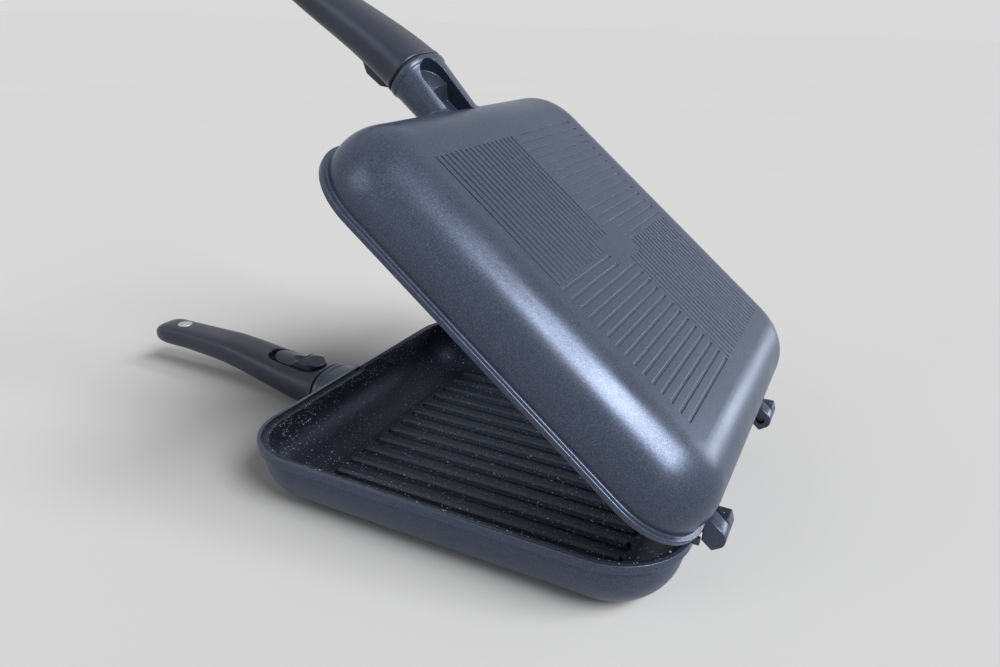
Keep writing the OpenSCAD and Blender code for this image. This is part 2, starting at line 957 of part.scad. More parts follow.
// Button with a crowned top, the thumb rest across its pan end and a round
// hollow in front of it
module button() {
    length = button_l - 2 * button_clear;
    start = grip_x + recess_near + button_clear;
    difference() {
        intersection() {
            translate([-start - length / 2, 0, recess_z + slider_gap])
                linear_extrude(joint_hh)
                    stadium(length, recess_w - 2 * button_clear);
            union() {
                crown(button_rise);
                intersection() {
                    crown(button_rise + thumb_h);
                    translate([-start, joint_hw, recess_z])
                        rotate([90, 0, 0])
                            mirror([1, 0, 0])
                                linear_extrude(2 * joint_hw)
                                    thumb_profile();
                }
            }
        }
        translate([
            -start - hollow_at,
            0,
            chord_z(start + hollow_at - grip_x) + button_rise - hollow_depth + hollow_r
        ])
            sphere(r = hollow_r, $fn = 2 * round_fn);
        translate([
            -slider_x - stem_l / 2 - pocket_clear,
            -stem_w / 2 - pocket_clear,
            recess_z
        ])
            cube([
                stem_l + 2 * pocket_clear,
                stem_w + 2 * pocket_clear,
                slider_gap + stem_in + 2 * pocket_clear
            ]);
    }
}

// Compression spring that returns the button
module button_spring() {
    turns = turn_rings * spring_turns;
    r = (spring_d - wire_d) / 2;
    front = spring_front_x + slider_gap + wire_d / 2;
    back = spring_back_x - slider_gap - wire_d / 2;
    path = [
        for (i = [0 : turns])
            let (a = 360 * i / turn_rings)
            [
                -front - (back - front) * i / turns,
                spring_y + r * cos(a),
                spring_z + r * sin(a)
            ]
    ];
    outward = [
        for (i = [0 : turns])
            let (a = 360 * i / turn_rings) [0, cos(a), sin(a)]
    ];
    wire(path, outward);
}

module magnet() {
    edge = 0.4;
    translate([-magnet_x, 0, magnet_top - magnet_t])
        rotate_extrude($fn = round_fn)
            polygon([
                [0, 0],
                [magnet_d / 2, 0],
                [magnet_d / 2, magnet_t - edge],
                [magnet_d / 2 - edge, magnet_t],
                [0, magnet_t]
            ]);
}

// ---------------------------------------------------------------- nodes

module lower_pan() color(pan_colour) pan();
module lower_grip() color(grip_colour) grip();
module lower_ring() color("black") ring();
module lower_frame() color(steel_colour) frame();
module lower_frame_screw() color(steel_colour) frame_screw();
module lower_catch() color(steel_colour) catch();
module lower_catch_pin() color(steel_colour) catch_pin();
module lower_catch_spring() color(steel_colour) catch_spring();
module lower_slider() color("dimgray") slider();
module lower_button() color(grip_colour) button();
module lower_button_spring() color(steel_colour) button_spring();
module lower_magnet() color("silver") magnet();
module near_hinge_pin() color(steel_colour) hinge_pin();
module upper_pan() color(pan_colour) upper_half() pan();
module upper_grip() color(grip_colour) upper_half() grip();
module upper_ring() color("black") upper_half() ring();
module upper_frame() color(steel_colour) upper_half() frame();
module upper_frame_screw() color(steel_colour) upper_half() frame_screw();
module upper_catch() color(steel_colour) upper_half() catch();
module upper_catch_pin() color(steel_colour) upper_half() catch_pin();
module upper_catch_spring() color(steel_colour) upper_half() catch_spring();
module upper_slider() color("dimgray") upper_half() slider();
module upper_button() color(grip_colour) upper_half() button();
module upper_button_spring() color(steel_colour) upper_half() button_spring();
module upper_magnet() color("silver") upper_half() magnet();
module far_hinge_pin() color(steel_colour) upper_half() hinge_pin();

lower_pan();
lower_grip();
lower_ring();
lower_frame();
lower_frame_screw();
lower_catch();
lower_catch_pin();
lower_catch_spring();
lower_slider();
lower_button();
lower_button_spring();
lower_magnet();
near_hinge_pin();
upper_pan();
upper_grip();
upper_ring();
upper_frame();
upper_frame_screw();
upper_catch();
upper_catch_pin();
upper_catch_spring();
upper_slider();
upper_button();
upper_button_spring();
upper_magnet();
far_hinge_pin();
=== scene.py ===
"""Looks of a double sided flip pan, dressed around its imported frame.

Lengths are in millimetres in the lower half's own frame until a piece is made. The
upper half is the same set of pieces turned over and then opened about the hinge.
"""

import logging
import math
from abc import ABC, abstractmethod
from dataclasses import dataclass, field
from enum import Enum
from functools import cached_property

import bpy
import numpy as np
from mathutils import Matrix, Vector
from mathutils.geometry import tessellate_polygon


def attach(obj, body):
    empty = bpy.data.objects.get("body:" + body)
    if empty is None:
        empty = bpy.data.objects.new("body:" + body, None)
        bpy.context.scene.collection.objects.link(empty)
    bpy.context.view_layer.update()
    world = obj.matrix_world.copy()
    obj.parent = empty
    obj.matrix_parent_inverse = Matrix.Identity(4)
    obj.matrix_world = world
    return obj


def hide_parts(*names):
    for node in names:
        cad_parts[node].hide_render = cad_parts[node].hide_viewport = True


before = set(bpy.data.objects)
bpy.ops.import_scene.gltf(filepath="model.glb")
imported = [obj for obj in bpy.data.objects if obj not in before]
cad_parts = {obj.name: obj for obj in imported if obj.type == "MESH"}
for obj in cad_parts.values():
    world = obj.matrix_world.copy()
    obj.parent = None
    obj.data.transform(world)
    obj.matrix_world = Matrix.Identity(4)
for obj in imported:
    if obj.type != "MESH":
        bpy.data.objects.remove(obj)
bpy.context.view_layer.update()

LOG = logging.getLogger("flip_pan")
MM = 0.001
HINGE_X = 149.0
PARTING_Z = 41.0
OPEN_ANGLE = math.radians(38.5)
BASE_ROUND = 32.0
JOINT_HALF = (23.2, 16.2)
JOINT_SQUARE = 2.4
TONGUE_HALF = 7.7
TONGUE_Z = (13.0, 26.4)

Pair = tuple[float, float]
Triple = tuple[float, float, float]
Colour = tuple[float, float, float, float]
Socket = bpy.types.NodeSocket
Material = bpy.types.Material


class Half(Enum):
    """The two halves of the pan."""

    LOWER = "lower"
    UPPER = "upper"

    @property
    def body(self) -> str:
        """Name of the frame's body that carries this half."""
        return f"{self.value}_half"

    @property
    def placement(self) -> Matrix:
        """Matrix from millimetres in the lower half's frame to this half's place.

        Returns:
            The matrix.
        """
        shrink = Matrix.Scale(MM, 4)
        if self is Half.LOWER:
            return shrink
        hinge = Matrix.Translation((HINGE_X, 0, PARTING_Z))
        back = Matrix.Translation((-HINGE_X, 0, PARTING_Z))
        opened = Matrix.Rotation(OPEN_ANGLE, 4, "Y")
        turned = Matrix.Rotation(math.pi, 4, "X")
        return shrink @ hinge @ opened @ back @ turned


class Zone(Enum):
    """Material zones of a casting."""

    PAINT = 0
    COATING = 1
    # Rib tops, where the coating is painted lighter as a painted highlight.
    RIB_TOP_PAINTED_HIGHLIGHT = 2


# ---------------------------------------------------------------- finishes


class Tree:
    """Node tree of one material or world, built a node at a time."""

    def __init__(self, owner: bpy.types.ID, shader: str = "Principled BSDF") -> None:
        """Start a tree that holds only its shader.

        Args:
            owner: Material or world that holds the tree.
            shader: Name of its shader node.
        """
        self.owner = owner
        owner.use_nodes = True
        self.nodes = owner.node_tree.nodes
        self.links = owner.node_tree.links
        self.shader = self.nodes[shader]

    @cached_property
    def place(self) -> Socket:
        """Position on the piece, in metres."""
        return self.add("TexCoord").outputs["Object"]

    def set(self, **values: object) -> None:
        """Set constants on the shader, with _ for the spaces in a name."""
        for name, value in values.items():
            self.shader.inputs[name.replace("_", " ")].default_value = value

    def add(self, kind: str, inputs: dict | None = None, **settings: object) -> bpy.types.Node:
        """Add one node.

        Args:
            kind: Type of the node, without its ShaderNode prefix.
            inputs: Values or output sockets by input name or number.
            settings: Properties of the node.

        Returns:
            The new node.
        """
        node = self.nodes.new("ShaderNode" + kind)
        for name, value in settings.items():
            setattr(node, name, value)
        for name, value in (inputs or {}).items():
            if isinstance(value, Socket):
                self.links.new(value, node.inputs[name])
            else:
                node.inputs[name].default_value = value
        return node

    def join(self, source: Socket, target: str) -> None:
        """Link a socket to an input of the shader."""
        self.links.new(source, self.shader.inputs[target])

    def math(self, kind: str, a: object, b: object) -> Socket:
        """Output of a math node of the given kind."""
        return self.add("Math", {0: a, 1: b}, operation=kind).outputs[0]

    def noise(self, scale: float, detail: float = 2.0, rough: float = 0.5) -> Socket:
        """Noise from 0 to 1 with scale features in a metre and detail octaves."""
        inputs = {"Vector": self.place, "Scale": scale, "Detail": detail, "Roughness": rough}
        return self.add("TexNoise", inputs).outputs["Fac"]

    def spread(self, value: Socket, low: float, high: float,
               start: float = 0.0, end: float = 1.0) -> Socket:
        """Map a factor from start..end to low..high, held at both ends."""
        inputs = {0: value, 1: start, 2: end, 3: low, 4: high}
        return self.add("MapRange", inputs).outputs[0]

    def blend(self, factor: object, first: object, second: object) -> Socket:
        """Mix two colours by the share of the second."""
        node = self.add("Mix", {0: factor, 6: first, 7: second}, data_type="RGBA")
        return node.outputs[2]

    def bump(self, height: Socket, depth: float, strength: float) -> None:
        """Let the shader's normal follow a height from 0 to 1, depth metres deep."""
        inputs = {"Height": height, "Distance": depth, "Strength": strength}
        self.join(self.add("Bump", inputs).outputs["Normal"], "Normal")


@dataclass(frozen=True)
class Finish(ABC):
    """Finish of some of the object's pieces."""

    name: str

    @abstractmethod
    def lay(self, tree: Tree) -> None:
        """Lay the finish's nodes in its material's tree."""

    def build(self) -> Material:
        """Build the finish.

        Returns:
            Its material.
        """
        tree = Tree(bpy.data.materials.new(self.name))
        self.lay(tree)
        return tree.owner


@dataclass(frozen=True)
class SatinPaint(Finish):
    """Blue-grey metallic satin paint on the outside of the castings."""

    name: str = "satin_paint"
    colour: Colour = (0.032, 0.041, 0.068, 1)
    flake: Colour = (0.145, 0.172, 0.245, 1)
    tint: Colour = (0.76, 0.86, 1.0, 1)
    flake_scale: float = 3200.0

    def lay(self, tree: Tree) -> None:
        """Lay the paint: fine flakes, a soft orange peel and faint smudges.

        Args:
            tree: Tree of the material.
        """
        tree.set(Metallic=0.5, Specular_IOR_Level=0.75, Specular_Tint=self.tint)
        flakes = tree.add("TexVoronoi", {"Vector": tree.place, "Scale": self.flake_scale})
        shine = tree.spread(flakes.outputs["Color"], 0.0, 0.55, 0.45, 1.0)
        tree.join(tree.blend(shine, self.colour, self.flake), "Base Color")
        smudges = tree.spread(tree.noise(26.0, 4.0), 0.28, 0.36, 0.35, 0.65)
        grain = tree.spread(tree.noise(1800.0, 2.0), -0.03, 0.03)
        tree.join(tree.math("ADD", smudges, grain), "Roughness")
        tree.bump(tree.noise(650.0, 2.0), 0.00003, 0.6)


@dataclass(frozen=True)
class StoneCoating(Finish):
    """Black non-stick coating with pale specks on the inside of the castings."""

    name: str = "stone_coating"
    colour: Colour = (0.0062, 0.0066, 0.0112, 1)
    dull: Colour = (0.0130, 0.0138, 0.0215, 1)
    speck: Colour = (0.60, 0.66, 0.80, 1)
    tint: Colour = (0.45, 0.56, 1.0, 1)
    layers: tuple[Triple, ...] = (  # cell, radius and share of each size of speck
        (0.0013, 0.00040, 0.62), (0.0040, 0.0008, 0.6), (0.0140, 0.0015, 0.4))

    def specks(self, tree: Tree, cell: float, radius: float, share: float) -> Socket:
        """One layer of scattered specks.

        Args:
            tree: Material to add to.
            cell: Mean distance between possible specks, in metres.
            radius: Largest radius of a speck, in metres.
            share: Share of the cells that hold a speck.

        Returns:
            A mask, 1 on a speck.
        """
        ragged = tree.add("TexNoise", {"Vector": tree.place, "Scale": 0.9 / radius, "Detail": 2.0})
        offset = tree.add("VectorMath", {0: ragged.outputs["Color"], 1: (0.5, 0.5, 0.5)},
                          operation="SUBTRACT")
        moved = tree.add("VectorMath", {0: offset.outputs[0], "Scale": 1.2 * radius},
                         operation="SCALE")
        place = tree.add("VectorMath", {0: tree.place, 1: moved.outputs[0]}, operation="ADD")
        cells = tree.add("TexVoronoi", {"Vector": place.outputs[0], "Scale": 1 / cell})
        parts = tree.add("SeparateColor", {0: cells.outputs["Color"]})
        size = tree.spread(parts.outputs[0], 0.0, radius / cell, 1 - share, 1.0)
        edge = tree.math("DIVIDE", cells.outputs["Distance"], tree.math("MAXIMUM", size, 0.0001))
        inside = tree.spread(edge, 1.0, 0.0, 0.8, 1.05)
        return tree.math("MULTIPLY", inside, tree.spread(parts.outputs[1], 0.35, 1.0))

    def lay(self, tree: Tree) -> None:
        """Lay the coating: three sizes of specks over a dull grained black.

        Args:
            tree: Tree of the material.
        """
        tree.set(Specular_IOR_Level=0.45, Specular_Tint=self.tint)
        fine, middle, large = (self.specks(tree, *layer) for layer in self.layers)
        mask = tree.math("MAXIMUM", tree.math("MAXIMUM", fine, middle), large)
        clouds = tree.spread(tree.noise(60.0, 5.0), 0, 1, 0.35, 0.7)
        ground = tree.blend(clouds, self.colour, self.dull)
        tree.join(tree.blend(mask, ground, self.speck), "Base Color")
        rough = tree.spread(tree.noise(900.0, 3.0), 0.38, 0.55)
        tree.join(rough, "Roughness")
        tree.bump(tree.noise(1400.0, 3.0, 0.6), 0.00006, 0.7)


@dataclass(frozen=True)
class MouldedResin(Finish):
    """Charcoal satin resin of the grips, buttons and slides."""

    name: str = "moulded_resin"
    colour: Colour = (0.0130, 0.0145, 0.0230, 1)
    pale: Colour = (0.0200, 0.0220, 0.0330, 1)
    tint: Colour = (0.68, 0.77, 1.0, 1)
    rough: float = 0.38

    def lay(self, tree: Tree) -> None:
        """Lay the resin: flow marks, a fine grain and rubbed patches.

        Args:
            tree: Tree of the material.
        """
        tree.set(Specular_IOR_Level=0.6, Specular_Tint=self.tint)
        flow = tree.spread(tree.noise(35.0, 4.0, 0.6), 0, 1, 0.35, 0.7)
        tree.join(tree.blend(flow, self.colour, self.pale), "Base Color")
        patches = tree.spread(tree.noise(90.0, 3.0), self.rough - 0.05, self.rough + 0.06)
        tree.join(patches, "Roughness")
        tree.bump(tree.noise(2600.0, 3.0, 0.65), 0.00004, 0.5)


@dataclass(frozen=True)
class SealRubber(Finish):
    """Black rubber of the rings between grips and collars."""

    name: str = "seal_rubber"
    colour: Colour = (0.010, 0.010, 0.011, 1)
    dusty: Colour = (0.022, 0.022, 0.023, 1)

    def lay(self, tree: Tree) -> None:
        """Lay the rubber: matt with a dusty bloom.

        Args:
            tree: Tree of the material.
        """
        tree.set(Specular_IOR_Level=0.35)
        bloom = tree.spread(tree.noise(220.0, 4.0), 0, 1, 0.4, 0.7)
        tree.join(tree.blend(bloom, self.colour, self.dusty), "Base Color")
        tree.join(tree.spread(tree.noise(1500.0), 0.55, 0.75), "Roughness")


@dataclass(frozen=True)
class BrushedSteel(Finish):
    """Steel of the frames, catches, pins, screws and springs."""

    name: str = "brushed_steel"
    colour: Colour = (0.46, 0.46, 0.47, 1)
    dark: Colour = (0.30, 0.30, 0.31, 1)
    grain: Triple = (90.0, 2600.0, 2600.0)
    rough: float = 0.28

    def lay(self, tree: Tree) -> None:
        """Lay the steel: grain along the handle and duller blotches.

        Args:
            tree: Tree of the material.
        """
        tree.set(Metallic=1.0)
        streaked = tree.add("VectorMath", {0: tree.place, 1: self.grain}, operation="MULTIPLY")
        brushed = tree.add("TexNoise", {"Vector": streaked.outputs[0], "Scale": 1.0, "Detail": 3.0})
        lines = brushed.outputs["Fac"]
        shine = tree.spread(lines, 0, 1, 0.3, 0.7)
        tree.join(tree.blend(shine, self.dark, self.colour), "Base Color")
        blotches = tree.spread(tree.noise(180.0, 3.0), self.rough - 0.05, self.rough + 0.12)
        tree.join(blotches, "Roughness")
        tree.bump(lines, 0.00001, 0.5)


@dataclass(frozen=True)
class NickelPlate(Finish):
    """Bright nickel plate of the magnets."""

    name: str = "nickel_plate"
    colour: Colour = (0.60, 0.60, 0.62, 1)
    worn: Colour = (0.44, 0.44, 0.45, 1)

    def lay(self, tree: Tree) -> None:
        """Lay the plate: bright with fine scratches and dull rub marks.

        Args:
            tree: Tree of the material.
        """
        tree.set(Metallic=1.0)
        rubbed = tree.spread(tree.noise(700.0, 4.0), 0, 1, 0.4, 0.65)
        tree.join(tree.blend(rubbed, self.colour, self.worn), "Base Color")
        tree.join(tree.spread(tree.noise(2400.0, 4.0), 0.34, 0.48), "Roughness")
        tree.bump(tree.noise(5200.0, 2.0), 0.000003, 0.25)


def once(kind: type[Finish], *values: object, **more: object) -> Material:
    """Field that holds one finish, built with its palette."""
    return field(default_factory=lambda: kind(*values, **more).build())


@dataclass
class Palette:
    """All finishes of the object, built once."""

    paint: Material = once(SatinPaint)
    coating: Material = once(StoneCoating)
    resin: Material = once(MouldedResin)
    button: Material = once(MouldedResin, "button_resin", rough=0.32)
    # The coating on the rib tops, painted lighter than the valleys: a painted highlight.
    rib_top: Material = once(StoneCoating, "stone_coating_painted_light_on_rib_tops",
                             (0.040, 0.045, 0.058, 1), (0.058, 0.064, 0.080, 1))
    seal: Material = once(SealRubber)
    steel: Material = once(BrushedSteel)
    pin: Material = once(BrushedSteel, "darkened_steel", (0.12, 0.12, 0.13, 1),
                         (0.06, 0.06, 0.065, 1), rough=0.42)
    magnet: Material = once(NickelPlate)


def dress(node: str, material: Material) -> None:
    """Give a frame node its finish.

    Args:
        node: Name of the node.
        material: Finish to give it.
    """
    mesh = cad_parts[node].data
    mesh.materials.clear()
    mesh.materials.append(material)
    LOG.info("dressed %s in %s", node, material.name)


# ---------------------------------------------------------------- shaping

ROUND_STEPS = 4
ROUND_SHARE = 0.45
ROUND_LEAD = 0.1
RING_SIDES = 96


def arc(centre: Pair, radius: float, start: float, end: float, steps: int) -> list[Pair]:
    """Points along an arc from one angle to another, in degrees, steps chords long."""
    turns = [math.radians(start + (end - start) * i / steps) for i in range(steps + 1)]
    return [(centre[0] + radius * math.cos(t), centre[1] + radius * math.sin(t)) for t in turns]


def rounded(line: list[Pair], radii: tuple[float, ...], steps: int = ROUND_STEPS,
            closed: bool = False) -> list[Pair]:
    """Round the corners of a line, and hold the flats beside each rounding flat.

    Args:
        line: Corner points. An open line keeps its two ends.
        radii: Radius at each corner that is rounded.
        steps: Chords in each rounding.
        closed: True if the last point runs back to the first.

    Returns:
        The rounded line, in which each rounded corner has steps + 3 points.
    """
    corners = [Vector(point) for point in line]
    count = len(corners)
    inner = range(count) if closed else range(1, count - 1)
    result = [] if closed else [tuple(line[0])]
    for radius, i in zip(radii, inner):
        here, back, on = corners[i], corners[i - 1], corners[(i + 1) % count]
        before, after = (back - here).normalized(), (on - here).normalized()
        half = max(before.angle(after) / 2, 0.05)
        room = min((back - here).length * ROUND_SHARE, (on - here).length * ROUND_SHARE)
        reach = min(radius / math.tan(half), room)
        first, last = here + before * reach, here + after * reach
        result.append(tuple(first + before * reach * ROUND_LEAD))
        for j in range(steps + 1):
            t = j / steps
            bend = here * (2 * t * (1 - t)) + first * (1 - t) ** 2 + last * t ** 2
            result.append(tuple(bend))
        result.append(tuple(last + after * reach * ROUND_LEAD))
    return result if closed else result + [tuple(line[-1])]


@dataclass
class Skin:
    """Surface being built in the lower half's frame, in millimetres."""

    points: list[Triple] = field(default_factory=list)
    faces: list[list[int]] = field(default_factory=list)
    zones: list[Zone] = field(default_factory=list)
    smooth: list[bool] = field(default_factory=list)

    def add(self, points: np.ndarray, faces: list, zones: list[Zone] | Zone = Zone.PAINT,
            smooth: bool = True) -> None:
        """Add a patch.

        Args:
            points: Points of the patch.
            faces: Faces, as indices into points.
            zones: One zone, or one for each face.
            smooth: Whether the patch is shaded smooth.
        """
        start = len(self.points)
        self.points.extend(map(tuple, np.asarray(points, dtype=float).tolist()))
        self.faces.extend([start + int(i) for i in face] for face in faces)
        self.zones.extend([zones] * len(faces) if isinstance(zones, Zone) else zones)
        self.smooth.extend([smooth] * len(faces))

    def grid(self, rows: list, zones: list[Zone] | Zone = Zone.PAINT, closed: bool = False,
             turned: bool = False) -> None:
        """Add quads between rows of points.

        Args:
            rows: Rows, all with the same number of points.
            zones: One zone, or one for each gap between the points of a row.
            closed: True if the last row joins the first.
            turned: True to face the other way.
        """
        rows = np.asarray(rows, dtype=float)
        index = np.arange(rows.shape[0] * rows.shape[1]).reshape(rows.shape[:2])
        if closed:
            index = np.vstack([index, index[:1]])
        quads = np.stack([index[:-1, :-1], index[1:, :-1], index[1:, 1:], index[:-1, 1:]], -1)
        if not isinstance(zones, Zone):
            zones = list(zones) * (len(index) - 1)
        quads = quads.reshape(-1, 4)
        self.add(rows.reshape(-1, 3), quads[:, ::-1] if turned else quads, zones)

    def cap(self, loops: list, normal: Triple, zone: Zone = Zone.PAINT) -> None:
        """Fill a flat outline that may have holes.

        Args:
            loops: The outline and its holes, as lists of points.
            normal: Side that the face looks to.
            zone: Zone of the faces.
        """
        points = [Vector(point) for loop in loops for point in loop]
        faces = []
        for a, b, c in tessellate_polygon([[Vector(point) for point in loop] for loop in loops]):
            facing = (points[b] - points[a]).cross(points[c] - points[a]).dot(Vector(normal))
            if abs(facing) > 1e-9:
                faces.append((a, b, c) if facing > 0 else (a, c, b))
        self.add(np.array([tuple(point) for point in points]), faces, zone, smooth=False)

    def slab(self, outline: list[Pair], span: Pair, edge: float,
             holes: tuple[tuple[list, float], ...] = ()) -> None:
        """Add a plate across Y with rounded edges, blind or open holes and flat sides.

        Args:
            outline: Outline in X and Z, running round Y from X to Z.
            span: The plate's two Y faces. A hole starts at the first.
            edge: Radius of the edges between the outline and the faces.
            holes: Outline and depth of each hole.
        """
        shape = np.array(outline)
        before, after = np.roll(shape, 1, 0) - shape, np.roll(shape, -1, 0) - shape
        before /= np.linalg.norm(before, axis=1)[:, None]
        after /= np.linalg.norm(after, axis=1)[:, None]
        normal = np.stack([after[:, 1] - before[:, 1], before[:, 0] - after[:, 0]], 1)
        normal /= np.linalg.norm(normal, axis=1)[:, None]
        lean = np.maximum(np.abs(np.sum(normal * np.stack([after[:, 1], -after[:, 0]], 1), 1)), 0.5)
        away = normal / lean[:, None]
        low, high = span
        inward = math.copysign(1, high - low)
        turns = [math.radians(90 * i / 4) for i in range(5)]
        steps = [(edge * (1 - math.sin(t)), low + inward * edge * (1 - math.cos(t))) for t in turns]
        steps += [(inset, low + high - y) for inset, y in reversed(steps)]
        rows = [[(x, y, z) for x, z in shape - away * inset] for inset, y in steps]
        rows = [row + row[:1] for row in rows]
        self.grid(rows, turned=inward < 0)
        for place, row in ((low, rows[0]), (high, rows[-1])):
            loops = [row[:-1]]
            for hole, depth in holes:
                if place == low or depth >= abs(high - low):
                    loops.append([(x, place, z) for x, z in hole])
            self.cap(loops, (0, -inward if place == low else inward, 0))
        for hole, depth in holes:
            ring = list(hole) + [hole[0]]
            end = low + inward * min(depth, abs(high - low))
            self.grid([[(x, y, z) for x, z in ring] for y in (low, end)], turned=inward > 0)
            if depth < abs(high - low):
                self.cap([[(x, end, z) for x, z in hole]], (0, -inward, 0))

    def install(self, kind: str, node: str, half: Half, body: str,
                materials: list[Material]) -> None:
        """Make the piece, in place of its CAD node.

        Args:
            kind: Name of the piece after its half's.
            node: Name of the node after its half's.
            half: Half that the piece belongs to.
            body: Body that carries it.
            materials: One material for each zone.
        """
        name = f"{half.value}_{kind}"
        place = half.placement
        mesh = bpy.data.meshes.new(name)
        mesh.from_pydata([place @ Vector(point) for point in self.points], [], self.faces)
        for material in materials:
            mesh.materials.append(material)
        mesh.polygons.foreach_set("material_index", [zone.value for zone in self.zones])
        mesh.polygons.foreach_set("use_smooth", self.smooth)
        mesh.update()
        piece = bpy.data.objects.new(name, mesh)
        bpy.context.scene.collection.objects.link(piece)
        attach(piece, body)
        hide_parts(f"{half.value}_{node}")
        LOG.info("built %s with %d faces", name, len(self.faces))


def prism(outline: list[Pair], low: float, high: float) -> Skin:
    """Closed prism along Z.

    Args:
        outline: Outline in X and Y.
        low: Height of its bottom.
        high: Height of its top.

    Returns:
        The prism's surface.
    """
    skin = Skin()
    count = len(outline)
    points = [(x, y, z) for z in (low, high) for x, y in outline]
    sides = [(i, (i + 1) % count, count + (i + 1) % count, count + i) for i in range(count)]
    ends = [tuple(range(count))[::-1], tuple(range(count, 2 * count))]
    skin.add(np.array(points), sides + ends)
    return skin


def block(low: Triple, high: Triple) -> Skin:
    """Closed box between two corners."""
    outline = [(low[0], low[1]), (high[0], low[1]), (high[0], high[1]), (low[0], high[1])]
    return prism(outline, low[2], high[2])


def stadium(start: float, end: float, half: float, steps: int = 24) -> list[Pair]:
    """Outline of a strip along X, twice half wide, with two round ends."""
    return (arc((end - half, 0), half, -90, 90, steps)
            + arc((start + half, 0), half, 90, 270, steps))


def loft(rows: list) -> Skin:
    """Closed surface through rings of points, with a fan at each end.

    Args:
        rows: Rings, all with the same number of points.

    Returns:
        The closed surface.
    """
    rows = np.asarray(rows, dtype=float)
    count, sides = rows.shape[:2]
    skin = Skin()
    points = np.vstack([rows.reshape(-1, 3), rows[0].mean(0), rows[-1].mean(0)])
    faces = []
    for j in range(sides):
        k = (j + 1) % sides
        for i in range(count - 1):
            a, b = i * sides, (i + 1) * sides
            faces.append((a + j, b + j, b + k, a + k))
        faces.append((k, count * sides, j))
        faces.append(((count - 1) * sides + j, count * sides + 1, (count - 1) * sides + k))
    skin.add(points, faces)
    return skin


@dataclass
class Moulded:
    """A closed body with pieces cut out of it and all its edges softened."""

    body: Skin
    cutters: list[Skin]
    cell: float
    relax: int

    @staticmethod
    def _object(skin: Skin) -> bpy.types.Object:
        """Scratch object of a surface, in millimetres.

        Args:
            skin: The surface.

        Returns:
            The object.
        """
        mesh = bpy.data.meshes.new("scratch")
        mesh.from_pydata(skin.points, [], skin.faces)
        scratch = bpy.data.objects.new("scratch", mesh)
        bpy.context.scene.collection.objects.link(scratch)
        return scratch

    def skin(self) -> Skin:
        """Cut, remesh and smooth the body.

        Returns:
            The softened surface.
        """
        body = self._object(self.body)
        tools = [self._object(cutter) for cutter in self.cutters]
        for tool in tools:
            cut = body.modifiers.new("cut", "BOOLEAN")
            cut.operation, cut.solver, cut.object = "DIFFERENCE", "EXACT", tool
        cells = body.modifiers.new("cells", "REMESH")
        cells.mode, cells.voxel_size = "VOXEL", self.cell
        soft = body.modifiers.new("soft", "SMOOTH")
        soft.factor, soft.iterations = 0.5, self.relax
        shown = body.evaluated_get(bpy.context.evaluated_depsgraph_get())
        mesh = bpy.data.meshes.new_from_object(shown)
        points = np.empty(len(mesh.vertices) * 3)
        mesh.vertices.foreach_get("co", points)
        result = Skin()
        result.add(points.reshape(-1, 3), [list(face.vertices) for face in mesh.polygons])
        for scratch in [body, *tools]:
            old = scratch.data
            bpy.data.objects.remove(scratch)
            bpy.data.meshes.remove(old)
        bpy.data.meshes.remove(mesh)
        return result


# ---------------------------------------------------------------- pan casting


@dataclass
class Strips:
    """Parallel ribs or grooves on a flat panel, along U and side by side in V."""

    centres: list[float]
    starts: list[float]
    ends: list[float]
    half: float
    edge: list[Pair]
    round_ends: bool = True

    def height(self, u: np.ndarray, v: np.ndarray) -> np.ndarray:
        """Height of the panel at each point.

        Args:
            u: Positions along the strips.
            v: Positions across them.

        Returns:
            The heights.
        """
        result = np.zeros_like(u)
        inset, level = zip(*self.edge)
        for centre, start, end in zip(self.centres, self.starts, self.ends):
            across = np.abs(v - centre)
            if self.round_ends:
                along = np.maximum(start + self.half - u, u - end + self.half)
                inside = self.half - np.hypot(np.maximum(along, 0), across)
            else:
                inside = np.minimum(np.minimum(u - start, end - u), self.half - across)
            here = np.interp(inside, inset, level)
            result = np.where(np.abs(here) > np.abs(result), here, result)
        return result

    def panel(self, u_span: Pair, v_span: Pair) -> np.ndarray:
        """Rows of points (u, v, height) over a rectangle.

        Args:
            u_span: First and last position along the strips.
            v_span: First and last position across them.

        Returns:
            The rows, one for each u.
        """
        insets = [inset for inset, _ in self.edge if inset < self.half]
        reach = [self.half - inset for inset in insets] + [0.0]
        v_lines = {round(c + side * r, 4) for c in self.centres for r in reach for side in (-1, 1)}
        nears = insets
        if self.round_ends:
            turns = [math.radians(90 * i / 8) for i in range(9)]
            nears = insets + [self.half * (1 - math.sin(t)) for t in turns]
        u_lines = {round(start + near, 4) for start in set(self.starts) for near in nears}
        u_lines |= {round(end - near, 4) for end in set(self.ends) for near in nears}
        u_lines = sorted({u for u in u_lines if u_span[0] < u < u_span[1]} | set(u_span))
        v_lines = sorted({v for v in v_lines if v_span[0] < v < v_span[1]} | set(v_span))
        u, v = np.meshgrid(u_lines, v_lines, indexing="ij")
        return np.stack([u, v, self.height(u, v)], -1)


